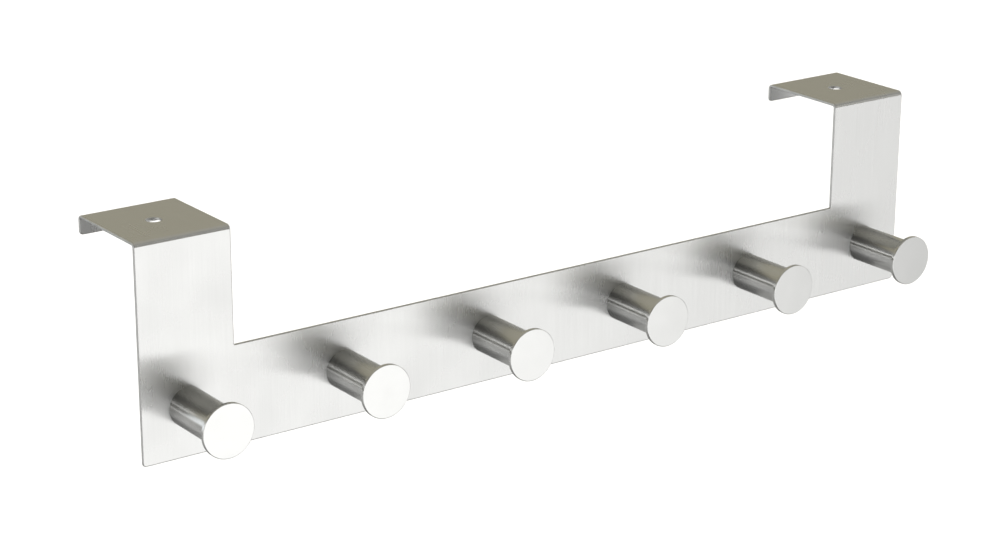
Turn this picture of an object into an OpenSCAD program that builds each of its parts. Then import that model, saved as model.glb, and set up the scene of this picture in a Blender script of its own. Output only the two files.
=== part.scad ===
// Over-the-door hook rack: one folded steel sheet carries six turned pegs, each held by a screw from behind.
// Frame: +X runs along the rail, -Y is the side the pegs stand on, +Z is up.
// Origin: midway between the two tab holes, on the undersides of the tabs, where the door's top edge sits.

/* [Rail and brackets] */
// Length of the rail, end to end
rail_length = 390; // [380:5:600]
// Height of the flat rail
rail_height = 41; // [30:1:50]
// Width of each bracket
bracket_width = 41; // [30:1:60]
// Height of the whole rack, from the rail's lower edge to the top of the tabs
rack_height = 89; // [80:1:160]
// Thickness of the sheet
sheet_thickness = 1.2; // [1:0.1:1.6]
// Outside radius of each fold
fold_radius = 2; // [1.8:0.1:3]
// Radius of the sheet's outer corners
corner_radius = 1.5; // [0.5:0.1:4]
// Radius of the inner corner between bracket and rail
notch_radius = 0.5; // [0.3:0.1:3]

/* [Door] */
// Clear gap between upright and rear lip
door_gap = 42; // [36:0.5:50]
// Height of the rear lip, measured from the top of the tab
lip_height = 8; // [6:0.5:30]
// Diameter of the screw hole in each tab
tab_hole_diameter = 6; // [4:0.5:8]

/* [Pegs] */
// Distance from one peg to the next
peg_pitch = 70; // [45:1:70]
// Length of a peg, from the rail to the front of its head
peg_length = 31; // [24:1:60]
// Diameter of the peg's shank
shank_diameter = 16; // [12:0.5:17]
// Diameter of the peg's head
head_diameter = 22; // [21:0.5:30]
// Thickness of the peg's head
head_thickness = 1.6; // [1.4:0.1:4]
// Radius of the cove between shank and head
cove_radius = 1.2; // [0.5:0.1:1.5]
// Bevel on the front edge of the head
head_bevel = 0.3; // [0.1:0.05:0.6]
// Bevel on the shank's foot and the head's rear edge
edge_bevel = 0.2; // [0.1:0.05:0.4]

/* [Screws] */
// Thread diameter of the peg screws
screw_diameter = 4; // [4:0.5:5]
// Length of a screw under its head
screw_length = 10; // [8:1:14]
// Diameter of the thin screw head
screw_head_diameter = 9; // [8:0.5:10]
// Thickness of the thin screw head
screw_head_thickness = 1.4; // [1:0.1:1.8]

/* [Pads] */
// Thickness of the foam pads
pad_thickness = 2; // [1.9:0.1:3]
// Long side of a pad
pad_length = 32; // [20:1:40]
// Short side of a pad
pad_width = 16; // [10:1:20]
// Corner radius of a pad
pad_corner_radius = 2.5; // [0.5:0.5:5]

/* [Hidden] */
PEG_COUNT = 6;
PEGS = [1 : PEG_COUNT];
SIDES = ["left", "right"];

$fn = 96;
// How far a cutter reaches past the face it cuts
overshoot = 1;

// Depths, from the front face of the sheet to the rear face of the lips
outer_depth = door_gap + 2 * sheet_thickness;
sheet_front_y = -outer_depth / 2;
sheet_back_y = -door_gap / 2;
pad_back_y = sheet_back_y + pad_thickness;

// Heights
tab_top_z = sheet_thickness;
rail_bottom_z = tab_top_z - rack_height;
rail_top_z = rail_bottom_z + rail_height;
peg_z = rail_bottom_z + rail_height / 2;
lip_bottom_z = tab_top_z - lip_height;
upright_mid_z = rail_top_z / 2;

// Places along the rail
bracket_x = (rail_length - bracket_width) / 2;

// Pegs and their blind screw holes
shank_radius = shank_diameter / 2;
head_radius = head_diameter / 2;
screw_radius = screw_diameter / 2;
thread_clearance = 0.05;
bore_radius = screw_radius + thread_clearance;
bore_past_screw = 2;
bore_depth = screw_length - sheet_thickness + bore_past_screw;
bore_mouth_bevel = 0.4;
drill_point_angle = 118;
drill_point_height = bore_radius / tan(drill_point_angle / 2);

// Screws and the holes they pass in the rail
rail_hole_radius = screw_radius + 0.25;
screw_head_radius = screw_head_diameter / 2;
screw_head_round = 0.6;
neck_length = 1.5;
thread_pitch = 0.7;
thread_depth = 0.35;
thread_turns = floor((screw_length - neck_length) / thread_pitch);
recess_span = 3.8;
recess_width = 0.9;
recess_depth = 1.6;

STEEL = [0.79, 0.79, 0.78];
PEG_STEEL = [0.72, 0.72, 0.70];
SCREW_STEEL = [0.62, 0.63, 0.65];
FOAM = [0.16, 0.16, 0.17];

function peg_x(i) = (i - (PEG_COUNT + 1) / 2) * peg_pitch;
function sign_of(side) = side == "left" ? -1 : 1;

// A flat rectangle centred on the origin, with rounded corners.
module rounded_rectangle(width, height, radius) {
    square([width - 2 * radius, height], center = true);
    square([width, height - 2 * radius], center = true);
    for (x = [-1, 1], y = [-1, 1])
        translate([x * (width / 2 - radius), y * (height / 2 - radius)])
            circle(radius);
}

// Carries a drawing in X and Z to the sheet's front face and gives it the sheet's thickness.
module as_front_sheet() {
    translate([0, sheet_back_y, 0])
        rotate([90, 0, 0])
            linear_extrude(sheet_thickness)
                children();
}

// Carries a drawing in Y and Z to a strip one bracket wide, centred on X.
module as_bracket_strip() {
    translate([-bracket_width / 2, 0, 0])
        rotate([90, 0, 90])
            linear_extrude(bracket_width)
                children();
}

// The outline of a hood: straight sides, and a flat top with rounded upper corners.
module hood(depth, top, bottom, radius) {
    translate([-depth / 2, bottom])
        square([depth, top - radius - bottom]);
    translate([-depth / 2 + radius, bottom])
        square([depth - 2 * radius, top - bottom]);
    for (side = [-1, 1])
        translate([side * (depth / 2 - radius), top - radius])
            circle(radius);
}

// One bracket seen from its end: upright, fold, tab, fold and lip.
module bracket_profile() {
    difference() {
        hood(outer_depth, tab_top_z, rail_top_z, fold_radius);
        hood(door_gap, 0, rail_top_z - overshoot, fold_radius - sheet_thickness);
        translate([0, rail_top_z - overshoot])
            square([outer_depth, lip_bottom_z - rail_top_z + overshoot]);
    }
}

// Cuts the square corner at one end of a lip back to a quarter circle.
module lip_corner_cut() {
    translate([0, door_gap / 2 - overshoot, 0])
        rotate([90, 0, 0])
            mirror([0, 0, 1])
                linear_extrude(sheet_thickness + 2 * overshoot)
                    difference() {
                        translate([-overshoot, -overshoot])
                            square(corner_radius + overshoot);
                        translate([corner_radius, corner_radius])
                            circle(corner_radius);
                    }
}

module bracket() {
    difference() {
        as_bracket_strip()
            bracket_profile();
        translate([0, 0, -overshoot])
            cylinder(h = sheet_thickness + 2 * overshoot, d = tab_hole_diameter);
        for (side = [0, 1])
            mirror([side, 0, 0])
                translate([-bracket_width / 2, 0, lip_bottom_z])
                    lip_corner_cut();
    }
}

// The flat rail with its two rounded lower corners.
module rail_outline() {
    translate([0, peg_z])
        rounded_rectangle(rail_length, rail_height, corner_radius);
    translate([-rail_length / 2, peg_z])
        square([rail_length, rail_height / 2]);
    for (side = [0, 1])
        mirror([side, 0])
            translate([bracket_width / 2 - bracket_x, rail_top_z])
                notch_fillet();
}

// The small web of metal that rounds the inner corner between bracket and rail.
module notch_fillet() {
    difference() {
        square(notch_radius);
        translate([notch_radius, notch_radius])
            circle(notch_radius);
    }
}

module rail() {
    color(STEEL)
        difference() {
            union() {
                as_front_sheet()
                    rail_outline();
                for (side = [-1, 1])
                    translate([side * bracket_x, 0, 0])
                        bracket();
            }
            for (i = PEGS)
                translate([peg_x(i), sheet_back_y + overshoot, peg_z])
                    rotate([90, 0, 0])
                        cylinder(h = sheet_thickness + 2 * overshoot, r = rail_hole_radius);
        }
}

// Half the peg's section: radius across, distance from the rail upwards.
module peg_section() {
    head_back = peg_length - head_thickness;
    difference() {
        polygon([
            [0, 0],
            [shank_radius - edge_bevel, 0],
            [shank_radius, edge_bevel],
            [shank_radius, head_back - cove_radius],
            [shank_radius + cove_radius, head_back - cove_radius],
            [shank_radius + cove_radius, head_back],
            [head_radius - edge_bevel, head_back],
            [head_radius, head_back + edge_bevel],
            [head_radius, peg_length - head_bevel],
            [head_radius - head_bevel, peg_length],
            [0, peg_length]
        ]);
        translate([shank_radius + cove_radius, head_back - cove_radius])
            circle(cove_radius);
    }
}

// The blind screw hole in the foot of a peg, with a drill point and a bevelled mouth.
module peg_bore() {
    mouth_radius = bore_radius + bore_mouth_bevel;
    translate([0, 0, -overshoot])
        cylinder(h = bore_depth + overshoot, r = bore_radius);
    translate([0, 0, bore_depth])
        cylinder(h = drill_point_height, r1 = bore_radius, r2 = 0);
    translate([0, 0, -overshoot])
        cylinder(h = bore_mouth_bevel + overshoot, r1 = mouth_radius + overshoot, r2 = bore_radius);
}

module peg(i) {
    color(PEG_STEEL)
        translate([peg_x(i), sheet_front_y, peg_z])
            rotate([90, 0, 0])
                difference() {
                    rotate_extrude()
                        peg_section();
                    peg_bore();
                }
}

// Half the screw's section: radius across, distance from the underside of the head upwards.
module screw_section() {
    root_radius = screw_radius - thread_depth;
    crest_flat = thread_pitch / 8;
    head_top = -screw_head_thickness;
    polygon(concat(
        [
            [0, head_top],
            [screw_head_radius - 2 * screw_head_round, head_top],
            [screw_head_radius - screw_head_round / 2, head_top + screw_head_round / 2],
            [screw_head_radius, head_top + screw_head_round],
            [screw_head_radius, 0],
            [screw_radius, 0]
        ],
        [for (turn = [0 : thread_turns - 1], point = thread_ring(root_radius, crest_flat, turn)) point],
        [
            [root_radius, screw_length],
            [0, screw_length]
        ]
    ));
}

// The four corners of one groove of the thread.
function thread_ring(root_radius, crest_flat, turn) = [
    [screw_radius, neck_length + turn * thread_pitch],
    [root_radius, neck_length + (turn + 0.5) * thread_pitch - crest_flat],
    [root_radius, neck_length + (turn + 0.5) * thread_pitch],
    [screw_radius, neck_length + (turn + 1) * thread_pitch - crest_flat]
];

// The cross recess in the head.
module cross_recess() {
    translate([0, 0, -screw_head_thickness])
        for (angle = [0, 90])
            rotate([0, 0, angle])
                cube([recess_span, recess_width, 2 * recess_depth], center = true);
}

module peg_screw(i) {
    color(SCREW_STEEL)
        translate([peg_x(i), sheet_back_y, peg_z])
            rotate([90, 0, 0])
                difference() {
                    rotate_extrude()
                        screw_section();
                    cross_recess();
                }
}

// A foam pad stuck to the back of the sheet, with its centre at x and z.
module pad(x, z, width, height) {
    color(FOAM)
        translate([x, pad_back_y, z])
            rotate([90, 0, 0])
                linear_extrude(pad_thickness)
                    rounded_rectangle(width, height, pad_corner_radius);
}

module pad_upright(side) {
    pad(sign_of(side) * bracket_x, upright_mid_z, pad_width, pad_length);
}

module pad_rail(side) {
    pad(sign_of(side) * peg_pitch, peg_z, pad_length, pad_width);
}

rail();
for (i = PEGS) {
    peg(i);
    peg_screw(i);
}
for (side = SIDES) {
    pad_upright(side);
    pad_rail(side);
}
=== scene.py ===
# Looks for the over-the-door hook rack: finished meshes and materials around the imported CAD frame.
import math

import bmesh
import bpy
import numpy as np
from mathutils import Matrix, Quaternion, Vector
from mathutils.geometry import delaunay_2d_cdt


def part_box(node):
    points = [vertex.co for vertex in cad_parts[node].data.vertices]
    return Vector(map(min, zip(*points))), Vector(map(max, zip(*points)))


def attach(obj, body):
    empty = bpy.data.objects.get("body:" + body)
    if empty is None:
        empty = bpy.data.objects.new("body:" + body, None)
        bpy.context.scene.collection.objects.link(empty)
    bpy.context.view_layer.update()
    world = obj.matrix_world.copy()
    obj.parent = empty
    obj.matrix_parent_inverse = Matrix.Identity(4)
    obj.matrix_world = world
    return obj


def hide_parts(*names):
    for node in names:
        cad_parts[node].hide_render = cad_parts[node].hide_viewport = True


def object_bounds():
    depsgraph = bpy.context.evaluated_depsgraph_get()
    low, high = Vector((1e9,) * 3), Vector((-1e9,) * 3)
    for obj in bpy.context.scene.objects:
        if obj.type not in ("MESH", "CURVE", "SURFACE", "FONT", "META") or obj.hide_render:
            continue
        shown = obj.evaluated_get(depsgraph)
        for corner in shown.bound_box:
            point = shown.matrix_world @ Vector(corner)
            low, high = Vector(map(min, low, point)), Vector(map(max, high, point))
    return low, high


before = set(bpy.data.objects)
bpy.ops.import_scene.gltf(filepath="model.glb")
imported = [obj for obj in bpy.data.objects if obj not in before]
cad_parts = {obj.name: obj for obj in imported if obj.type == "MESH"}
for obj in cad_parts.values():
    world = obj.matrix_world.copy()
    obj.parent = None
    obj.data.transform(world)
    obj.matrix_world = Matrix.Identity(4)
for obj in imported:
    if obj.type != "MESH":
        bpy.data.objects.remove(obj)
cad_low, cad_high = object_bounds()

MM = 0.001
PEGS = range(1, 7)
SIDES = {"left": -1, "right": 1}

# ------------------------------------------------ sizes and places read from the frame

rail_low, rail_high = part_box("rail")
peg_low, peg_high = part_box("peg_1")
screw_low, screw_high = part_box("peg_screw_1")
sheet_back_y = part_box("pad_rail_left")[0].y
upright_pad_low, upright_pad_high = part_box("pad_upright_right")

SHEET_THICKNESS = sheet_back_y - rail_low.y
PEG_Z = (peg_low.z + peg_high.z) / 2
RAIL_HEIGHT = 2 * (PEG_Z - rail_low.z)
BRACKET_X = (upright_pad_low.x + upright_pad_high.x) / 2
BRACKET_WIDTH = 2 * (rail_high.x - BRACKET_X)
PEG_LENGTH = peg_high.y - peg_low.y
HEAD_RADIUS = (peg_high.x - peg_low.x) / 2
SCREW_HEAD_RADIUS = (screw_high.x - screw_low.x) / 2
SCREW_HEAD_THICKNESS = screw_high.y - sheet_back_y
SCREW_LENGTH = sheet_back_y - screw_low.y

# ------------------------------------------------ sizes that a box can't tell, as in the CAD source

FOLD_RADIUS = 2.0 * MM
CORNER_RADIUS = 1.5 * MM
NOTCH_RADIUS = 0.5 * MM
LIP_HEIGHT = 8.0 * MM
TAB_HOLE_RADIUS = 3.0 * MM
RAIL_HOLE_RADIUS = 2.25 * MM
SHANK_RADIUS = 8.0 * MM
HEAD_THICKNESS = 1.6 * MM
COVE_RADIUS = 1.2 * MM
HEAD_BEVEL = 0.3 * MM
EDGE_BEVEL = 0.2 * MM
BORE_RADIUS = 2.05 * MM
BORE_DEPTH = 10.8 * MM
BORE_MOUTH = 0.4 * MM
DRILL_HALF_ANGLE = 59
SCREW_RADIUS = 2.0 * MM
SCREW_HEAD_ROUND = 0.6 * MM
SCREW_HEAD_CHAMFER = 0.1 * MM
THREAD_PITCH = 0.7 * MM
THREAD_DEPTH = 0.35 * MM
THREAD_NECK = 1.5 * MM
RECESS_SPAN = 4.0 * MM
RECESS_WIDTH = 0.9 * MM
RECESS_DEPTH = 1.6 * MM
RECESS_FLOOR_SPAN = 1.4 * MM
RECESS_FLOOR_WIDTH = 0.6 * MM
PAD_CORNER = 2.5 * MM

# ------------------------------------------------ details that only the finished meshes have

# The fine rounding that deburring leaves on the sheet's cut edges
DEBURR = 0.4 * MM

# The thread's shape, in shares of its depth: how far a flank would rise over a whole pitch, and how much the
# flat root takes
THREAD_FLANK = 2.5
THREAD_ROOT = 0.06
RINGS_PER_PITCH = 8

# A foam pad's side, as insets and shares of its depth, then its soft edge, its free face and its pits
PAD_SIDE = ((0, 0), (0.08 * MM, 0.03), (0.05 * MM, 0.2), (0.02 * MM, 0.6), (0, 0.8))
PAD_SOFT_INSET = 0.45 * MM
PAD_SOFT_DROP = 0.4 * MM
PAD_FACE_EDGE = 0.9 * MM
PAD_FACE_STEP = 0.8 * MM
PAD_FACE_STEPS = 9
PAD_SMALLEST_CORNER = 0.2 * MM
PIT_DEPTH = 0.04 * MM

# How far the recess's cutter stands out of the screw's head
CUTTER_RISE = 0.4 * MM

# Points of a cut mesh nearer than this are one
WELD = 0.001 * MM

# Points of the flat pattern this near a fold station are on it, and points this near each other are one
ON_STATION = 1e-7
SAME_POINT = 1e-9

# A face whose normal's Y is below this faces forward
FACING_FRONT = -0.99

# ------------------------------------------------ distances along the flat sheet

# On its outer face, from the rail's lower edge
FOLD_ARC = FOLD_RADIUS * math.pi / 2
FRONT_END = rail_high.z - FOLD_RADIUS - rail_low.z
TAB_START = FRONT_END + FOLD_ARC
TAB_END = TAB_START + rail_high.y - rail_low.y - 2 * FOLD_RADIUS
LIP_START = TAB_END + FOLD_ARC
SHEET_END = LIP_START + LIP_HEIGHT - FOLD_RADIUS


# ------------------------------------------------ mesh helpers


def new_piece(name, node, origin, vertices, faces, materials):
    """A mesh piece with its own origin that rides on the rack and stands for one CAD node."""
    mesh = bpy.data.meshes.new(name)
    mesh.from_pydata([tuple(v) for v in vertices], [], faces)
    for material in materials:
        mesh.materials.append(material)
    piece = bpy.data.objects.new(name, mesh)
    piece.location = origin
    bpy.context.scene.collection.objects.link(piece)
    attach(piece, "root")
    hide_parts(node)
    return piece


def shade_smooth(mesh, corner_normals=None, sharp_angle=None):
    """Smooth shading, with given corner normals or with edges kept sharp past an angle in degrees."""
    mesh.polygons.foreach_set("use_smooth", [True] * len(mesh.polygons))
    if corner_normals is not None:
        mesh.normals_split_custom_set([tuple(n) for n in corner_normals])
    if sharp_angle is not None:
        mesh.set_sharp_from_angle(angle=math.radians(sharp_angle))


# ------------------------------------------------ the flat pattern of the sheet


def rounded_corner(before, corner, after, radius, steps=6):
    """The arc that replaces one square corner of an outline."""
    here = Vector(corner)
    back = (Vector(before) - here).normalized()
    ahead = (Vector(after) - here).normalized()
    centre = here + (back + ahead) * radius
    first = math.atan2(-ahead.y, -ahead.x)
    last = math.atan2(-back.y, -back.x)
    turn = (last - first + math.pi) % (2 * math.pi) - math.pi
    angles = [first + turn * k / steps for k in range(steps + 1)]
    return [(centre.x + radius * math.cos(a), centre.y + radius * math.sin(a)) for a in angles]


def rounded_polygon(corners, steps=6):
    """An outline from square corners, each with its place and its radius."""
    points = []
    for k, (x, y, radius) in enumerate(corners):
        before = corners[k - 1][:2]
        after = corners[(k + 1) % len(corners)][:2]
        points += rounded_corner(before, (x, y), after, radius, steps)
    return points


def flat_outline():
    """The sheet's outline before folding, counter-clockwise: across, and along from the rail's lower edge."""
    outer = rail_high.x
    inner = outer - BRACKET_WIDTH
    return rounded_polygon(
        [
            (-outer, 0, CORNER_RADIUS),
            (outer, 0, CORNER_RADIUS),
            (outer, SHEET_END, CORNER_RADIUS),
            (inner, SHEET_END, CORNER_RADIUS),
            (inner, RAIL_HEIGHT, NOTCH_RADIUS),
            (-inner, RAIL_HEIGHT, NOTCH_RADIUS),
            (-inner, SHEET_END, CORNER_RADIUS),
            (-outer, SHEET_END, CORNER_RADIUS),
        ]
    )


def fold_stations(steps=12):
    """Places along the sheet where its folds need a line of vertices."""
    share = [k / steps for k in range(steps + 1)]
    return [FRONT_END + FOLD_ARC * k for k in share] + [TAB_END + FOLD_ARC * k for k in share]


def split_at(outline, stations):
    """The outline with a point added wherever one of its sides crosses a station."""
    points = []
    for k, (u, s) in enumerate(outline):
        next_u, next_s = outline[(k + 1) % len(outline)]
        points.append((u, s))
        crossed = [x for x in stations if min(s, next_s) < x < max(s, next_s)]
        for station in sorted(crossed, reverse=next_s < s):
            share = (station - s) / (next_s - s)
            points.append((u + (next_u - u) * share, station))
    return points


def hole_loop(u, s, radius, steps=48):
    """A hole's edge, clockwise, so that its normals point into the hole."""
    angles = [-2 * math.pi * k / steps for k in range(steps)]
    return [(u + radius * math.cos(a), s + radius * math.sin(a)) for a in angles]


def outward_normals(loop):
    """The in-plane normals of a loop's points, away from the metal."""
    points = np.array(loop)
    ahead = np.roll(points, -1, 0) - points
    ahead /= np.linalg.norm(ahead, axis=1)[:, None]
    along = ahead + np.roll(ahead, 1, 0)
    along /= np.linalg.norm(along, axis=1)[:, None]
    return np.stack([along[:, 1], -along[:, 0]], 1)


def is_inside(point, loop):
    """Whether a point of the flat pattern lies inside a loop."""
    x, y = point
    found = False
    for k in range(len(loop)):
        (x0, y0), (x1, y1) = loop[k - 1], loop[k]
        if (y0 > y) != (y1 > y) and x < x0 + (x1 - x0) * (y - y0) / (y1 - y0):
            found = not found
    return found


def filled(loops, stations):
    """Triangles between an outline and its holes, with an edge along every fold station."""
    points, edges = [], []
    for loop in loops:
        first = len(points)
        points += [tuple(p) for p in loop]
        edges += [(first + k, first + (k + 1) % len(loop)) for k in range(len(loop))]
    for station in stations:
        on_line = [k for k in range(len(loops[0])) if abs(points[k][1] - station) < ON_STATION]
        on_line.sort(key=lambda k: points[k][0])
        edges += zip(on_line[0::2], on_line[1::2])
    only_inside = 1
    result = delaunay_2d_cdt([Vector(p) for p in points], edges, [], only_inside, SAME_POINT)
    sources = [numbers[0] for numbers in result[3]]
    triangles = []
    for triangle in result[2]:
        corners = [sources[k] for k in triangle]
        centre = np.mean([points[k] for k in corners], 0)
        if is_inside(centre, loops[0]) and not any(is_inside(centre, hole) for hole in loops[1:]):
            triangles.append(corners)
    return triangles


# ------------------------------------------------ the folded sheet


def outer_normal(s):
    """The outer face's normal at a distance along the sheet."""
    if s < TAB_END:
        turn = min(max((s - FRONT_END) / FOLD_RADIUS, 0), math.pi / 2)
        return Vector((0, -math.cos(turn), math.sin(turn)))
    turn = min((s - TAB_END) / FOLD_RADIUS, math.pi / 2)
    return Vector((0, math.sin(turn), math.cos(turn)))


def outer_face(u, s):
    """Where a point of the flat sheet's outer face lies once it is folded."""
    fold_z = rail_high.z - FOLD_RADIUS
    if s <= FRONT_END:
        return Vector((u, rail_low.y, rail_low.z + s))
    if s < TAB_START:
        return Vector((u, rail_low.y + FOLD_RADIUS, fold_z)) + outer_normal(s) * FOLD_RADIUS
    if s <= TAB_END:
        return Vector((u, rail_low.y + FOLD_RADIUS + s - TAB_START, rail_high.z))
    if s < LIP_START:
        return Vector((u, rail_high.y - FOLD_RADIUS, fold_z)) + outer_normal(s) * FOLD_RADIUS
    return Vector((u, rail_high.y, fold_z - (s - LIP_START)))


def sheet_loops(stations):
    """The outline and every hole of the flat sheet."""
    tab_middle = (TAB_START + TAB_END) / 2
    loops = [split_at(flat_outline(), stations)]
    for i in PEGS:
        peg_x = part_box(f"peg_{i}")[0].x + HEAD_RADIUS
        loops.append(hole_loop(peg_x, RAIL_HEIGHT / 2, RAIL_HOLE_RADIUS))
    for side in SIDES.values():
        loops.append(hole_loop(side * BRACKET_X, tab_middle, TAB_HOLE_RADIUS))
    return loops


def build_sheet(face_material, edge_material):
    """Rail and brackets: one folded sheet with deburred cut edges and UVs that follow the flat pattern."""
    stations = fold_stations()
    loops = sheet_loops(stations)
    edge = np.concatenate([np.array(loop) for loop in loops])
    out = np.concatenate([outward_normals(loop) for loop in loops])
    rounding = [math.radians(a) for a in (0, 30, 60, 90)]
    rings = [(DEBURR * (1 - math.sin(a)), DEBURR * (1 - math.cos(a)), a) for a in rounding]
    rings += [(inset, SHEET_THICKNESS - depth, math.pi - a) for inset, depth, a in reversed(rings)]

    vertices, normals, uvs = [], [], []
    for inset, depth, tilt in rings:
        for (u, s), (out_u, out_s) in zip(edge - out * inset, out):
            face_normal = outer_normal(s)
            along = face_normal.cross(Vector((1, 0, 0)))
            sideways = Vector((1, 0, 0)) * out_u + along * out_s
            vertices.append(outer_face(u, s) - face_normal * depth)
            normals.append(face_normal * math.cos(tilt) + sideways * math.sin(tilt))
            uvs.append((u, s))

    count = len(edge)
    inset_loops = np.split(edge - out * DEBURR, np.cumsum([len(loop) for loop in loops])[:-1])
    triangles = filled(inset_loops, stations)
    back = count * (len(rings) - 1)
    faces = [tuple(t) for t in triangles] + [tuple(k + back for k in reversed(t)) for t in triangles]
    flat_faces = len(faces)
    first = 0
    for loop in loops:
        for ring in range(len(rings) - 1):
            for k in range(len(loop)):
                a = first + ring * count + k
                b = first + ring * count + (k + 1) % len(loop)
                faces.append((b, a, a + count, b + count))
        first += len(loop)

    origin = Vector((0, 0, 0))
    materials = [face_material, edge_material]
    piece = new_piece("folded_sheet", "rail", origin, vertices, faces, materials)
    mesh = piece.data
    for polygon in mesh.polygons[flat_faces:]:
        polygon.material_index = 1
    corners = np.array([loop.vertex_index for loop in mesh.loops])
    grain = mesh.uv_layers.new(name="grain")
    grain.data.foreach_set("uv", np.array(uvs, np.float32)[corners].ravel())
    shade_smooth(mesh, corner_normals=[normals[k] for k in corners])
    return piece


# ------------------------------------------------ turned pieces


def arc(centre_radius, centre_height, radius, start, end, steps):
    """Points of a profile's arc, as radius and height. Angles are in degrees from the outward direction."""
    angles = [math.radians(start + (end - start) * k / steps) for k in range(steps + 1)]
    return [(centre_radius + radius * math.cos(a), centre_height + radius * math.sin(a)) for a in angles]


def band_normals(profile, smooth_angle=40):
    """For each stretch of a profile, its normals at both ends as (out, up).

    Shallow corners are smoothed, weighted by length, so that long flats stay flat.
    """
    points = np.array(profile)
    steps = np.diff(points, axis=0)
    lengths = np.linalg.norm(steps, axis=1)
    flat = np.stack([steps[:, 1], -steps[:, 0]], 1) / lengths[:, None]
    bands = [[flat[k], flat[k]] for k in range(len(flat))]
    for k in range(1, len(flat)):
        if flat[k - 1] @ flat[k] > math.cos(math.radians(smooth_angle)):
            shared = flat[k - 1] * lengths[k - 1] + flat[k] * lengths[k]
            shared /= np.linalg.norm(shared)
            bands[k - 1][1] = shared
            bands[k][0] = shared
    return bands


def turned(profile, steps=144):
    """Vertices, faces and corner normals of a profile turned about the Y axis.

    The profile's first and last points lie on the axis, and its heights run along -Y.
    """
    turns = [2 * math.pi * k / steps for k in range(steps)]
    out = [Vector((math.cos(a), 0, math.sin(a))) for a in turns]
    up = Vector((0, -1, 0))
    vertices = [up * profile[0][1]]
    for radius, height in profile[1:-1]:
        vertices += [direction * radius + up * height for direction in out]
    vertices.append(up * profile[-1][1])

    faces, normals = [], []
    bands = band_normals(profile)
    last = len(bands) - 1
    for ring, (start, end) in enumerate(bands):
        low, high = 1 + (ring - 1) * steps, 1 + ring * steps
        for k in range(steps):
            n = (k + 1) % steps
            near = [out[j] * start[0] + up * start[1] for j in (k, n)]
            far = [out[j] * end[0] + up * end[1] for j in (k, n)]
            if ring == 0:
                faces.append((0, high + n, high + k))
                normals += [up * start[1], far[1], far[0]]
            elif ring == last:
                faces.append((low + k, low + n, len(vertices) - 1))
                normals += [near[0], near[1], up * end[1]]
            else:
                faces.append((low + k, low + n, high + n, high + k))
                normals += [near[0], near[1], far[1], far[0]]
    return vertices, faces, normals


def peg_profile():
    """Half a peg's section: blind screw hole, foot, shank, cove and a thin head."""
    head_back = PEG_LENGTH - HEAD_THICKNESS
    drill_point = BORE_RADIUS / math.tan(math.radians(DRILL_HALF_ANGLE))
    return [
        (0, BORE_DEPTH + drill_point),
        (BORE_RADIUS, BORE_DEPTH),
        (BORE_RADIUS, BORE_MOUTH),
        (BORE_RADIUS + BORE_MOUTH, 0),
        *arc(SHANK_RADIUS - EDGE_BEVEL, EDGE_BEVEL, EDGE_BEVEL, -90, 0, 4),
        *arc(SHANK_RADIUS + COVE_RADIUS, head_back - COVE_RADIUS, COVE_RADIUS, 180, 90, 10),
        *arc(HEAD_RADIUS - EDGE_BEVEL, head_back + EDGE_BEVEL, EDGE_BEVEL, -90, 0, 4),
        *arc(HEAD_RADIUS - HEAD_BEVEL, PEG_LENGTH - HEAD_BEVEL, HEAD_BEVEL, 0, 90, 5),
        (0, PEG_LENGTH),
    ]


def build_peg(number, shank_material, face_material):
    """One turned peg. The front of its head has its own material."""
    low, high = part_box(f"peg_{number}")
    foot = Vector(((low.x + high.x) / 2, high.y, (low.z + high.z) / 2))
    vertices, faces, normals = turned(peg_profile())
    materials = [shank_material, face_material]
    peg = new_piece(f"turned_peg_{number}", f"peg_{number}", foot, vertices, faces, materials)
    shade_smooth(peg.data, corner_normals=normals)
    head_middle = HEAD_THICKNESS / 2 - PEG_LENGTH
    for polygon in peg.data.polygons:
        if polygon.normal.y < FACING_FRONT and polygon.center.y < head_middle:
            polygon.material_index = 1
    return peg


# ------------------------------------------------ screws


def thread_radius(height, turn):
    """The radius of a single-start thread at a height under the head and a share of a turn."""
    fade_in = min(max((height - THREAD_NECK) / THREAD_PITCH, 0), 1)
    fade_out = min(max((SCREW_LENGTH - height) / THREAD_PITCH, 0), 1)
    phase = (height / THREAD_PITCH - turn) % 1
    tooth = min(1, max(0, THREAD_FLANK * abs(phase - 0.5) - THREAD_ROOT))
    full = SCREW_RADIUS - THREAD_DEPTH * (1 - tooth) * fade_in
    return full - THREAD_DEPTH * (1 - fade_out)


def screw_rings():
    """The screw's rings from its head's top to its tip: height and radius, or None where the thread is."""
    round_radius = SCREW_HEAD_RADIUS - SCREW_HEAD_ROUND
    round_height = SCREW_HEAD_ROUND - SCREW_HEAD_THICKNESS
    head = arc(round_radius, round_height, SCREW_HEAD_ROUND, -90, 0, 5)
    rings = [(height, radius) for radius, height in head]
    rings.append((-SCREW_HEAD_CHAMFER, SCREW_HEAD_RADIUS))
    rings.append((0, SCREW_HEAD_RADIUS - SCREW_HEAD_CHAMFER))
    rings.append((0, SCREW_RADIUS))
    threaded = SCREW_LENGTH - THREAD_NECK
    steps = RINGS_PER_PITCH * round(threaded / THREAD_PITCH)
    rings += [(THREAD_NECK + threaded * k / steps, None) for k in range(steps + 1)]
    return rings


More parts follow.
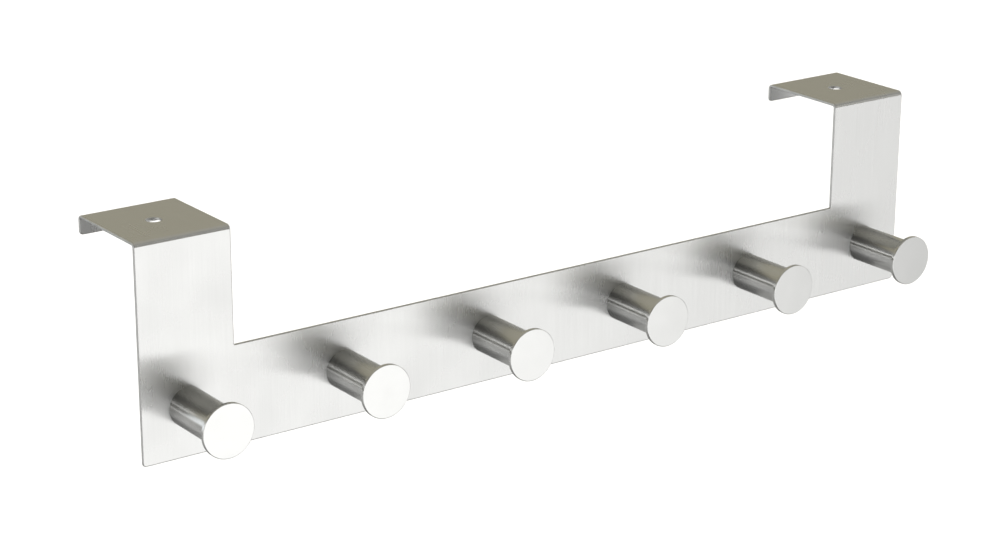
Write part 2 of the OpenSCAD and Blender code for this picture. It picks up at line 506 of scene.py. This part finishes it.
def screw_mesh(steps=40):
    """A screw along -Y with a helical thread. The underside of its head lies at the origin."""
    rings = screw_rings()
    vertices = [(0, -rings[0][0], 0)]
    for height, radius in rings:
        for k in range(steps):
            turn = k / steps
            r = thread_radius(height, turn) if radius is None else radius
            angle = 2 * math.pi * turn
            vertices.append((r * math.cos(angle), -height, r * math.sin(angle)))
    vertices.append((0, -rings[-1][0], 0))
    faces = []
    for k in range(steps):
        n = (k + 1) % steps
        faces.append((0, 1 + n, 1 + k))
        for ring in range(len(rings) - 1):
            a = 1 + ring * steps
            b = a + steps
            faces.append((a + k, a + n, b + n, b + k))
        tip = 1 + (len(rings) - 1) * steps
        faces.append((tip + k, tip + n, len(vertices) - 1))
    return vertices, faces


def cross_cutter():
    """The shape of the cross recess: two wings that taper towards its floor."""
    cutter = bmesh.new()
    for angle in (0, math.pi / 2):
        wing = bmesh.ops.create_cube(cutter, size=1)["verts"]
        for corner in wing:
            deep = corner.co.y < 0
            corner.co.x *= RECESS_FLOOR_SPAN if deep else RECESS_SPAN
            corner.co.z *= RECESS_FLOOR_WIDTH if deep else RECESS_WIDTH
            corner.co.y = SCREW_HEAD_THICKNESS + (-RECESS_DEPTH if deep else CUTTER_RISE)
        turn = Quaternion((0, 1, 0), angle).to_matrix()
        bmesh.ops.rotate(cutter, verts=wing, cent=(0, 0, 0), matrix=turn)
    mesh = bpy.data.meshes.new("cross_cutter")
    cutter.to_mesh(mesh)
    cutter.free()
    return bpy.data.objects.new("cross_cutter", mesh)


def welded(mesh):
    """The mesh without the slivers that a cut leaves."""
    shape = bmesh.new()
    shape.from_mesh(mesh)
    bmesh.ops.remove_doubles(shape, verts=shape.verts, dist=WELD)
    shape.to_mesh(mesh)
    shape.free()
    return mesh


def cut_recess(screw):
    """Cuts the cross recess and keeps the result as the screw's mesh."""
    cutter = cross_cutter()
    bpy.context.scene.collection.objects.link(cutter)
    cutter.location = screw.location
    cut = screw.modifiers.new("recess", "BOOLEAN")
    cut.object = cutter
    cut.solver = "EXACT"
    cut.use_self = True
    bpy.context.view_layer.update()
    evaluated = screw.evaluated_get(bpy.context.evaluated_depsgraph_get())
    shape = bpy.data.meshes.new_from_object(evaluated)
    screw.modifiers.remove(cut)
    screw.data = welded(shape)
    bpy.data.objects.remove(cutter)


def build_screw(number, material):
    """One screw, with its head's underside against the back of the sheet."""
    low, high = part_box(f"peg_screw_{number}")
    seat = Vector(((low.x + high.x) / 2, sheet_back_y, (low.z + high.z) / 2))
    vertices, faces = screw_mesh()
    name, node = f"cross_screw_{number}", f"peg_screw_{number}"
    screw = new_piece(name, node, seat, vertices, faces, [material])
    cut_recess(screw)
    shade_smooth(screw.data, sharp_angle=35)
    return screw


# ------------------------------------------------ foam pads


def pad_outline(width, height, inset):
    """A rounded rectangle set in from the pad's own outline."""
    x, y = width / 2 - inset, height / 2 - inset
    radius = max(PAD_CORNER - inset, PAD_SMALLEST_CORNER)
    corners = [(-x, -y, radius), (x, -y, radius), (x, y, radius), (-x, y, radius)]
    return rounded_polygon(corners, steps=8)


def pad_rings(depth):
    """Insets and lifts of a pad's rings, from the stuck face up its side and over the free face."""
    rings = [(inset, share * depth) for inset, share in PAD_SIDE]
    for angle in (30, 60, 90):
        inset = PAD_SOFT_INSET * (1 - math.cos(math.radians(angle)))
        drop = PAD_SOFT_DROP * (1 - math.sin(math.radians(angle)))
        rings.append((inset, depth - drop))
    rings.append((PAD_FACE_EDGE, depth))
    rings += [(PAD_FACE_STEP * k, depth) for k in range(2, PAD_FACE_STEPS + 1)]
    return rings


def build_pad(name, node, material):
    """A die-cut foam pad: its stuck face is flat and sharp, its free face is soft-edged and finely pitted."""
    low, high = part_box(node)
    width, depth, height = high - low
    stuck = Vector(((low.x + high.x) / 2, low.y, (low.z + high.z) / 2))
    pits = np.random.default_rng(sum(ord(letter) for letter in node))
    rings = pad_rings(depth)
    vertices, faces = [], []
    for inset, lift in rings:
        for x, z in pad_outline(width, height, inset):
            pit = pits.uniform(0, PIT_DEPTH) if lift > 0 else 0
            vertices.append((x, max(lift - pit, 0), z))
    count = len(vertices) // len(rings)
    for ring in range(len(rings) - 1):
        for k in range(count):
            a, b = ring * count + k, ring * count + (k + 1) % count
            faces.append((b, a, a + count, b + count))
    faces.append(tuple(range(count)))
    faces.append(tuple(range(len(vertices) - 1, len(vertices) - count - 1, -1)))
    pad = new_piece(name, node, stuck, vertices, faces, [material])
    shade_smooth(pad.data, sharp_angle=50)
    return pad


# ------------------------------------------------ node helpers


def new_tree(material_name):
    """A new material with its node tree and Principled shader."""
    material = bpy.data.materials.new(material_name)
    material.use_nodes = True
    tree = material.node_tree
    return material, tree, tree.nodes["Principled BSDF"]


def put(tree, socket, value):
    """Sets an input to a value, or links it to another node's output."""
    if isinstance(value, bpy.types.NodeSocket):
        tree.links.new(value, socket)
    else:
        socket.default_value = value


def maths(tree, operation, first, second=0.0):
    node = tree.nodes.new("ShaderNodeMath")
    node.operation = operation
    put(tree, node.inputs[0], first)
    put(tree, node.inputs[1], second)
    return node.outputs[0]


def weighted(tree, first, share, second):
    """A mix of two values: a share of the first, and the rest of the second."""
    part = maths(tree, "MULTIPLY", first, share)
    rest = maths(tree, "MULTIPLY", second, 1 - share)
    return maths(tree, "ADD", part, rest)


def vector_maths(tree, operation, first, second):
    node = tree.nodes.new("ShaderNodeVectorMath")
    node.operation = operation
    put(tree, node.inputs[0], first)
    put(tree, node.inputs["Scale"] if operation == "SCALE" else node.inputs[1], second)
    return node.outputs[0]


def separate_axes(tree, vector):
    """A vector's X, Y and Z."""
    node = tree.nodes.new("ShaderNodeSeparateXYZ")
    put(tree, node.inputs[0], vector)
    return node.outputs


def ramp(tree, value, low, high, to_low=0.0, to_high=1.0, smooth=False):
    """Maps a value from one range to another, held at both ends."""
    node = tree.nodes.new("ShaderNodeMapRange")
    node.interpolation_type = "SMOOTHSTEP" if smooth else "LINEAR"
    put(tree, node.inputs["Value"], value)
    put(tree, node.inputs["From Min"], low)
    put(tree, node.inputs["From Max"], high)
    put(tree, node.inputs["To Min"], to_low)
    put(tree, node.inputs["To Max"], to_high)
    return node.outputs[0]


def blend_colours(tree, share, first, second):
    """From the first colour to the second. Each is another node's output, or red, green and blue."""
    node = tree.nodes.new("ShaderNodeMix")
    node.data_type = "RGBA"
    put(tree, node.inputs["Factor"], share)
    for socket, colour in (("A", first), ("B", second)):
        is_plain = isinstance(colour, tuple)
        put(tree, node.inputs[socket], (*colour, 1) if is_plain else colour)
    return node.outputs["Result"]


def noise(tree, place, sizes, detail=2.0):
    """Noise from 0 to 1 whose features have the given sizes in metres along each axis of place."""
    node = tree.nodes.new("ShaderNodeTexNoise")
    node.inputs["Scale"].default_value = 1.0
    node.inputs["Detail"].default_value = detail
    put(tree, node.inputs["Vector"], vector_maths(tree, "MULTIPLY", place, tuple(1 / size for size in sizes)))
    return node.outputs[0]


def bump(tree, height, depth):
    """A bump of the given depth in metres."""
    node = tree.nodes.new("ShaderNodeBump")
    node.inputs["Strength"].default_value = 1.0
    node.inputs["Distance"].default_value = depth
    put(tree, node.inputs["Height"], height)
    return node.outputs[0]


def grain_direction(tree, **settings):
    """A tangent for the anisotropy, from a UV map or round an axis."""
    node = tree.nodes.new("ShaderNodeTangent")
    for name, value in settings.items():
        setattr(node, name, value)
    return node.outputs[0]


def object_place(tree):
    """Object coordinates, in metres, from the piece's own origin."""
    return tree.nodes.new("ShaderNodeTexCoord").outputs["Object"]


def shifted_place(tree):
    """Object coordinates shifted by the piece's place, so that no two of a kind share a pattern."""
    info = tree.nodes.new("ShaderNodeObjectInfo")
    return vector_maths(tree, "ADD", object_place(tree), info.outputs["Location"])


def finish_material(tree, shader, colour, roughness, relief, relief_depth, metallic=1.0):
    """Gives a shader its colour, its roughness and its relief, with the relief's depth in metres."""
    put(tree, shader.inputs["Base Color"], colour)
    put(tree, shader.inputs["Roughness"], roughness)
    shader.inputs["Metallic"].default_value = metallic
    put(tree, shader.inputs["Normal"], bump(tree, relief, relief_depth))


# ------------------------------------------------ materials

# Colours are linear red, green and blue: the darker and the paler tone of each finish
SHEET_TONES = ((0.756, 0.756, 0.746), (0.786, 0.786, 0.776))
EDGE_TONES = ((0.62, 0.62, 0.61), (0.78, 0.78, 0.77))
SHANK_TONES = ((0.73, 0.73, 0.715), (0.77, 0.77, 0.755))
HEAD_TONES = ((0.69, 0.69, 0.68), (0.72, 0.72, 0.71))
PLATING_TONES = ((0.55, 0.58, 0.63), (0.66, 0.65, 0.60))
FOAM_TONES = ((0.018, 0.018, 0.019), (0.045, 0.045, 0.047))
FLOOR_TONES = ((0.88, 0.88, 0.88), (0.92, 0.92, 0.92))
FOAM_BLOOM = (0.06, 0.06, 0.062)
# Painted shade: the dark colour that a peg's shank is blended towards at its foot, where it meets the plate
PAINTED_FOOT_SHADE = (0.10, 0.10, 0.097)

# Roughness where the grain is low and where it is high
SHEET_ROUGHNESS = (0.265, 0.275)
EDGE_ROUGHNESS = (0.38, 0.5)
SHANK_ROUGHNESS = (0.165, 0.185)
HEAD_ROUGHNESS = (0.20, 0.24)
PLATING_ROUGHNESS = (0.28, 0.45)
FOAM_ROUGHNESS = (0.95, 0.75)

# Sizes of the patterns: along each axis, or on the sheet across and along its brush lines. The sheet's last
# size is that of an axis which its pattern doesn't use.
SHEET_FINE = (0.45 * MM, 30 * MM, 1)
SHEET_BROAD = (1.6 * MM, 60 * MM, 1)
SHEET_CLOUDS = (30 * MM, 35 * MM, 1)
EDGE_MARKS = (0.4 * MM, 3 * MM, 3 * MM)
SHANK_FINE = (12 * MM, 0.18 * MM, 12 * MM)
SHANK_BROAD = (20 * MM, 1.2 * MM, 20 * MM)
HEAD_RINGS = 0.25 * MM
HEAD_GRIND = (0.6 * MM,) * 3
HEAD_CLOUDS = (8 * MM,) * 3
PLATING_CAST = (2 * MM,) * 3
PLATING_GRAIN = (0.3 * MM,) * 3
FOAM_CELL = 0.45 * MM
FOAM_CLOUDS = (4 * MM,) * 3

# Detail of the patterns of fine marks and grain
FINE_DETAIL = 3.0

# The first pattern's share where two are mixed
SHEET_FINE_SHARE = 0.5
SHANK_FINE_SHARE = 0.6
HEAD_RINGS_SHARE = 0.4
HEAD_SURFACE_SHARE = 0.5

# How far brushing and turning stretch reflections, and a quarter turn as a share of a full one
STRETCH = 1.0
QUARTER_TURN = 0.25

# Depths of relief
SHEET_RELIEF = 0.001 * MM
EDGE_RELIEF = 0.01 * MM
SHANK_RELIEF = 0.001 * MM
HEAD_RELIEF = 0.001 * MM
PLATING_RELIEF = 0.006 * MM
FOAM_RELIEF = 0.12 * MM

# How much clouds on the sheet add to its roughness, and how strongly foam is clouded
SHEET_CLOUD_ROUGHNESS = (-0.02, 0.02)
FOAM_CLOUDING = (0, 0.35)

# How far up a peg its painted shade reaches, as a share of its length, and how strong it is at the foot
FOOT_SHADE_REACH = 0.5
FOOT_SHADE_STRENGTH = 0.45

# The parts of a noise's range that are stretched to the full range, and the same for the foam's cells
MIDDLE = (0.3, 0.7)
NARROW_MIDDLE = (0.35, 0.65)
CELL_TONE_RANGE = (0.1, 0.6)
CELL_ROUGHNESS_RANGE = (0.0, 0.7)


def brushed_sheet():
    """Stainless sheet brushed up and down, along its flat pattern, so that reflections spread sideways."""
    material, tree, shader = new_tree("brushed_sheet")
    uv = tree.nodes.new("ShaderNodeUVMap")
    uv.uv_map = "grain"
    place = uv.outputs["UV"]
    fine = noise(tree, place, SHEET_FINE)
    broad = noise(tree, place, SHEET_BROAD)
    clouds = noise(tree, place, SHEET_CLOUDS)
    streaks = weighted(tree, fine, SHEET_FINE_SHARE, broad)
    colour = blend_colours(tree, ramp(tree, streaks, *NARROW_MIDDLE), *SHEET_TONES)
    streak_roughness = ramp(tree, streaks, *MIDDLE, *SHEET_ROUGHNESS)
    cloud_roughness = ramp(tree, clouds, *MIDDLE, *SHEET_CLOUD_ROUGHNESS)
    roughness = maths(tree, "ADD", streak_roughness, cloud_roughness)
    finish_material(tree, shader, colour, roughness, streaks, SHEET_RELIEF)
    shader.inputs["Anisotropic"].default_value = STRETCH
    put(tree, shader.inputs["Tangent"], grain_direction(tree, direction_type="UV_MAP", uv_map="grain"))
    return material


def sheared_edge():
    """The sheet's deburred cut edge. Where it runs level, fine marks lie across it."""
    material, tree, shader = new_tree("sheared_edge")
    marks = noise(tree, object_place(tree), EDGE_MARKS, detail=FINE_DETAIL)
    colour = blend_colours(tree, ramp(tree, marks, *MIDDLE), *EDGE_TONES)
    roughness = ramp(tree, marks, *MIDDLE, *EDGE_ROUGHNESS)
    finish_material(tree, shader, colour, roughness, marks, EDGE_RELIEF)
    return material


def turned_shank():
    """Turned steel with painted shade that darkens it towards the peg's foot. Its fine rings stretch
    reflections along the peg.
    """
    material, tree, shader = new_tree("turned_shank")
    place = shifted_place(tree)
    fine = noise(tree, place, SHANK_FINE)
    broad = noise(tree, place, SHANK_BROAD)
    rings = weighted(tree, fine, SHANK_FINE_SHARE, broad)
    polished = blend_colours(tree, ramp(tree, rings, *NARROW_MIDDLE), *SHANK_TONES)
    along = separate_axes(tree, object_place(tree))["Y"]
    # Painted shade: the shank's colour darkens towards its foot, where it meets the plate
    foot_shade = ramp(tree, along, -FOOT_SHADE_REACH * PEG_LENGTH, 0.0, 0.0, FOOT_SHADE_STRENGTH, smooth=True)
    colour = blend_colours(tree, foot_shade, polished, PAINTED_FOOT_SHADE)
    roughness = ramp(tree, rings, *MIDDLE, *SHANK_ROUGHNESS)
    finish_material(tree, shader, colour, roughness, rings, SHANK_RELIEF)
    shader.inputs["Anisotropic"].default_value = STRETCH
    shader.inputs["Anisotropic Rotation"].default_value = QUARTER_TURN
    put(tree, shader.inputs["Tangent"], grain_direction(tree, direction_type="RADIAL", axis="Y"))
    return material


def lathe_rings(tree, width):
    """Noise in rings of a given width round the Y axis."""
    flat = vector_maths(tree, "MULTIPLY", object_place(tree), (1, 0, 1))
    length = tree.nodes.new("ShaderNodeVectorMath")
    length.operation = "LENGTH"
    put(tree, length.inputs[0], flat)
    rings = tree.nodes.new("ShaderNodeTexNoise")
    rings.noise_dimensions = "1D"
    rings.inputs["Scale"].default_value = 1.0
    put(tree, rings.inputs["W"], maths(tree, "MULTIPLY", length.outputs["Value"], 1 / width))
    return rings.outputs[0]


def faced_head():
    """The front of a peg's head: faced off in the lathe, then finely ground."""
    material, tree, shader = new_tree("faced_head")
    rings = lathe_rings(tree, HEAD_RINGS)
    ground = noise(tree, shifted_place(tree), HEAD_GRIND, detail=FINE_DETAIL)
    clouds = noise(tree, shifted_place(tree), HEAD_CLOUDS)
    surface = weighted(tree, rings, HEAD_RINGS_SHARE, ground)
    mixed = weighted(tree, surface, HEAD_SURFACE_SHARE, clouds)
    tone = ramp(tree, mixed, *NARROW_MIDDLE)
    roughness = ramp(tree, surface, *MIDDLE, *HEAD_ROUGHNESS)
    colour = blend_colours(tree, tone, *HEAD_TONES)
    finish_material(tree, shader, colour, roughness, surface, HEAD_RELIEF)
    return material


def plated_screw():
    """Zinc-plated steel with a faint blue and yellow cast."""
    material, tree, shader = new_tree("plated_screw")
    place = shifted_place(tree)
    cast = noise(tree, place, PLATING_CAST)
    grain = noise(tree, place, PLATING_GRAIN, detail=FINE_DETAIL)
    colour = blend_colours(tree, ramp(tree, cast, *MIDDLE), *PLATING_TONES)
    roughness = ramp(tree, grain, *MIDDLE, *PLATING_ROUGHNESS)
    finish_material(tree, shader, colour, roughness, grain, PLATING_RELIEF)
    return material


def closed_cell_foam():
    """Dark grey closed-cell foam with fine pores."""
    material, tree, shader = new_tree("closed_cell_foam")
    place = shifted_place(tree)
    cells = tree.nodes.new("ShaderNodeTexVoronoi")
    cells.inputs["Scale"].default_value = 1.0
    put(tree, cells.inputs["Vector"], vector_maths(tree, "SCALE", place, 1 / FOAM_CELL))
    pores = cells.outputs["Distance"]
    clouds = noise(tree, place, FOAM_CLOUDS)
    cell_colour = blend_colours(tree, ramp(tree, pores, *CELL_TONE_RANGE), *FOAM_TONES)
    colour = blend_colours(tree, ramp(tree, clouds, *MIDDLE, *FOAM_CLOUDING), cell_colour, FOAM_BLOOM)
    roughness = ramp(tree, pores, *CELL_ROUGHNESS_RANGE, *FOAM_ROUGHNESS)
    finish_material(tree, shader, colour, roughness, pores, FOAM_RELIEF, metallic=0.0)
    return material


def pale_floor():
    """A matt white studio floor with a barely visible tone."""
    material, tree, shader = new_tree("pale_floor")
    tone = noise(tree, object_place(tree), FLOOR_CLOUDS)
    put(tree, shader.inputs["Base Color"], blend_colours(tree, tone, *FLOOR_TONES))
    shader.inputs["Roughness"].default_value = FLOOR_ROUGHNESS
    shader.inputs["Specular IOR Level"].default_value = FLOOR_SHEEN
    return material


# ------------------------------------------------ studio: floor, light, surroundings and camera

FLOOR_DROP = 1.0
FLOOR_SIZE = 60.0
FLOOR_CLOUDS = (0.6, 0.6, 0.6)
FLOOR_ROUGHNESS = 0.9
FLOOR_SHEEN = 0.1
OVERHEAD_STRENGTH = 3.1
OVERHEAD_SPREAD = 60
OVERHEAD_TILT = (15, -10, 0)
BACKGROUND = (1.0, 1.0, 1.0)


def build_floor():
    """A wide floor well under the rack. It stays out of reflections, since the steel mirrors the studio."""
    mesh = bpy.data.meshes.new("floor")
    half = FLOOR_SIZE / 2
    corners = [(-half, -half, 0), (half, -half, 0), (half, half, 0), (-half, half, 0)]
    mesh.from_pydata(corners, [], [(0, 1, 2, 3)])
    mesh.materials.append(pale_floor())
    floor = bpy.data.objects.new("floor", mesh)
    floor.location = (0, 0, cad_low.z - FLOOR_DROP)
    floor.visible_glossy = False
    bpy.context.scene.collection.objects.link(floor)


def build_overhead_light():
    """A broad soft light above the rack for the floor and the matt pieces."""
    light = bpy.data.lights.new("overhead", "SUN")
    light.energy = OVERHEAD_STRENGTH
    light.angle = math.radians(OVERHEAD_SPREAD)
    lamp = bpy.data.objects.new("overhead", light)
    lamp.rotation_euler = [math.radians(angle) for angle in OVERHEAD_TILT]
    lamp.visible_glossy = False
    bpy.context.scene.collection.objects.link(lamp)


# What the steel mirrors: soft regions of the world, with their radiance. Angles are in degrees. Azimuth 0 is
# straight ahead of the pegs and 90 is past the rack's right end. The plain surroundings come first: behind
# the rack and in front of it, above and below.
BACK_ABOVE = (0.385, 0.365, 0.290)
BACK_BELOW_RIGHT = (0.42, 0.42, 0.41)
BACK_BELOW_LEFT = (0.36, 0.36, 0.35)
FRONT_ABOVE = (0.05, 0.05, 0.05)
FRONT_BELOW = (0.22, 0.22, 0.22)

# Where these start to change and where the change is full: front to back by the direction's Y, above to
# below by its elevation, and right to left by its X
FRONT_TO_BACK = (-0.35, 0.35)
ABOVE_TO_BELOW = (4, -16)
RIGHT_TO_LEFT = (0.2, -0.5)

# Then layers by elevation: where each starts, where it is full, and its radiance
LAYERS = {
    "ceiling": (42, 56, (0.42, 0.41, 0.36)),
    "dark_ring": (-44, -60, (0.06, 0.06, 0.06)),
    "straight_down": (-64, -76, (0.34, 0.34, 0.33)),
}

# Then a haze above the horizon, which brightens with the angle from the direction that the pegs point in
HAZE_AZIMUTHS, HAZE_AZIMUTH_SOFTNESS = (-20, 85), 15
HAZE_ELEVATIONS, HAZE_ELEVATION_SOFTNESS = (-2, 46), 4
HAZE_ANGLES = (33, 45)
HAZE_NEAR = (0.04, 0.04, 0.038)
HAZE_FAR = (0.78, 0.77, 0.71)

# Then a disc straight ahead of the pegs: where it starts, where it is full, and its radiance
AHEAD_ANGLES = (26, 18)
AHEAD = (0.40, 0.39, 0.35)

# Then patches, in order: azimuths and their softness, elevations and their softness, and radiance
PATCHES = {
    "dark_right": ((30, 88), 6, (25, 46), 4, (0.22, 0.22, 0.21)),
    "key": ((-12, 45.5), 15, (-31, -3), 5, (1.60, 1.60, 1.59)),
    "left_card": ((-125, -66), 12, (-40, 30), 10, (0.8, 0.8, 0.8)),
    "upper_streak": ((-95, -20), 8, (7.5, 11.5), 1.3, (2.1, 2.1, 2.1)),
    "lower_streak": ((-95, -20), 8, (-7.5, -4.5), 1.3, (2.1, 2.1, 2.1)),
    "left_key": ((-76, -57), 9, (-31, -3), 5, (1.2, 1.2, 1.19)),
    "far_card": ((-165, -115), 10, (-8, 9), 5, (1.05, 1.09, 1.12)),
    "right_card": ((70, 118), 12, (-40, 30), 10, (0.7, 0.7, 0.7)),
    "back_card": ((98, 126), 10, (-46, -6), 8, (0.72, 0.72, 0.71)),
}


def in_degrees(tree, angle):
    return maths(tree, "MULTIPLY", angle, math.degrees(1))


def band(tree, value, low, high, soft):
    """1 between low and high, falling smoothly to 0 outside."""
    rise = ramp(tree, value, low - soft, low + soft, smooth=True)
    fall = ramp(tree, value, high - soft, high + soft, 1.0, 0.0, smooth=True)
    return maths(tree, "MULTIPLY", rise, fall)


def region(tree, azimuth, elevation, azimuths, azimuth_soft, elevations, elevation_soft):
    """1 inside a soft-edged region of the world."""
    across = band(tree, azimuth, *azimuths, azimuth_soft)
    upward = band(tree, elevation, *elevations, elevation_soft)
    return maths(tree, "MULTIPLY", across, upward)


def plain_surroundings(tree, x, y, elevation):
    """The plain back and front, above and below, and the layers over them."""
    behind = ramp(tree, y, *FRONT_TO_BACK, smooth=True)
    below = ramp(tree, elevation, *ABOVE_TO_BELOW, smooth=True)
    leftward = ramp(tree, x, *RIGHT_TO_LEFT, smooth=True)
    back_below = blend_colours(tree, leftward, BACK_BELOW_RIGHT, BACK_BELOW_LEFT)
    back = blend_colours(tree, below, BACK_ABOVE, back_below)
    front = blend_colours(tree, below, FRONT_ABOVE, FRONT_BELOW)
    total = blend_colours(tree, behind, front, back)
    for start, full, radiance in LAYERS.values():
        total = blend_colours(tree, ramp(tree, elevation, start, full, smooth=True), total, radiance)
    return total


def mirrored_world(tree):
    """The radiance of every direction that the steel can mirror."""
    direction = tree.nodes.new("ShaderNodeTexCoord").outputs["Generated"]
    x, y, z = separate_axes(tree, direction)
    forward = maths(tree, "MULTIPLY", y, -1.0)
    elevation = in_degrees(tree, maths(tree, "ARCSINE", z))
    azimuth = in_degrees(tree, maths(tree, "ARCTAN2", x, forward))
    off_axis = in_degrees(tree, maths(tree, "ARCCOSINE", forward))

    total = plain_surroundings(tree, x, y, elevation)
    haze = blend_colours(tree, ramp(tree, off_axis, *HAZE_ANGLES, smooth=True), HAZE_NEAR, HAZE_FAR)
    haze_azimuths = (HAZE_AZIMUTHS, HAZE_AZIMUTH_SOFTNESS)
    haze_elevations = (HAZE_ELEVATIONS, HAZE_ELEVATION_SOFTNESS)
    haze_place = region(tree, azimuth, elevation, *haze_azimuths, *haze_elevations)
    total = blend_colours(tree, haze_place, total, haze)
    total = blend_colours(tree, ramp(tree, off_axis, *AHEAD_ANGLES, smooth=True), total, AHEAD)
    for *place, radiance in PATCHES.values():
        total = blend_colours(tree, region(tree, azimuth, elevation, *place), total, radiance)
    return total


def build_surroundings():
    """A world that the steel mirrors, and that the camera sees as plain white."""
    world = bpy.data.worlds.new("studio")
    bpy.context.scene.world = world
    world.use_nodes = True
    tree = world.node_tree
    tree.nodes.clear()
    mirrored = tree.nodes.new("ShaderNodeBackground")
    put(tree, mirrored.inputs["Color"], mirrored_world(tree))
    seen = tree.nodes.new("ShaderNodeBackground")
    seen.inputs["Color"].default_value = (*BACKGROUND, 1)
    path = tree.nodes.new("ShaderNodeLightPath")
    choose = tree.nodes.new("ShaderNodeMixShader")
    put(tree, choose.inputs[0], path.outputs["Is Camera Ray"])
    put(tree, choose.inputs[1], mirrored.outputs[0])
    put(tree, choose.inputs[2], seen.outputs[0])
    output = tree.nodes.new("ShaderNodeOutputWorld")
    put(tree, output.inputs["Surface"], choose.outputs[0])


# The camera fitted to the photo: angles in degrees, distance in metres, lens and sensor in millimetres
CAMERA_AZIMUTH = -35.914
CAMERA_ELEVATION = 18.623
CAMERA_ROLL = 0.21
CAMERA_DISTANCE = 1.0424
CAMERA_LENS = 91.86
CAMERA_SENSOR = 36.0
# The point of the sheet's front that the camera looks at, as shares of the rail's length and the rack's
# height
AIM_ALONG = 0.4258
AIM_UP = 0.4885


def build_camera():
    """The camera, at the photograph's viewing angle."""
    azimuth, elevation = math.radians(CAMERA_AZIMUTH), math.radians(CAMERA_ELEVATION)
    across = math.cos(elevation)
    back = Vector((math.sin(azimuth) * across, -math.cos(azimuth) * across, math.sin(elevation)))
    aim_x = rail_low.x + AIM_ALONG * (rail_high.x - rail_low.x)
    aim_z = rail_low.z + AIM_UP * (rail_high.z - rail_low.z)
    aim = Vector((aim_x, rail_low.y, aim_z))
    data = bpy.data.cameras.new("camera")
    data.sensor_fit = "HORIZONTAL"
    data.sensor_width = CAMERA_SENSOR
    data.lens = CAMERA_LENS
    camera = bpy.data.objects.new("camera", data)
    camera.location = aim + back * CAMERA_DISTANCE
    camera.rotation_mode = "QUATERNION"
    roll = Quaternion((0, 0, 1), math.radians(CAMERA_ROLL))
    camera.rotation_quaternion = back.to_track_quat("Z", "Y") @ roll
    bpy.context.scene.collection.objects.link(camera)
    bpy.context.scene.camera = camera


# ------------------------------------------------ the scene

build_sheet(brushed_sheet(), sheared_edge())
shank_steel, head_steel = turned_shank(), faced_head()
screw_steel = plated_screw()
for i in PEGS:
    build_peg(i, shank_steel, head_steel)
    build_screw(i, screw_steel)
foam = closed_cell_foam()
for side in SIDES:
    build_pad(f"foam_upright_{side}", f"pad_upright_{side}", foam)
    build_pad(f"foam_rail_{side}", f"pad_rail_{side}", foam)

build_floor()
build_overhead_light()
build_surroundings()
build_camera()
bpy.context.scene.view_settings.view_transform = "Standard"
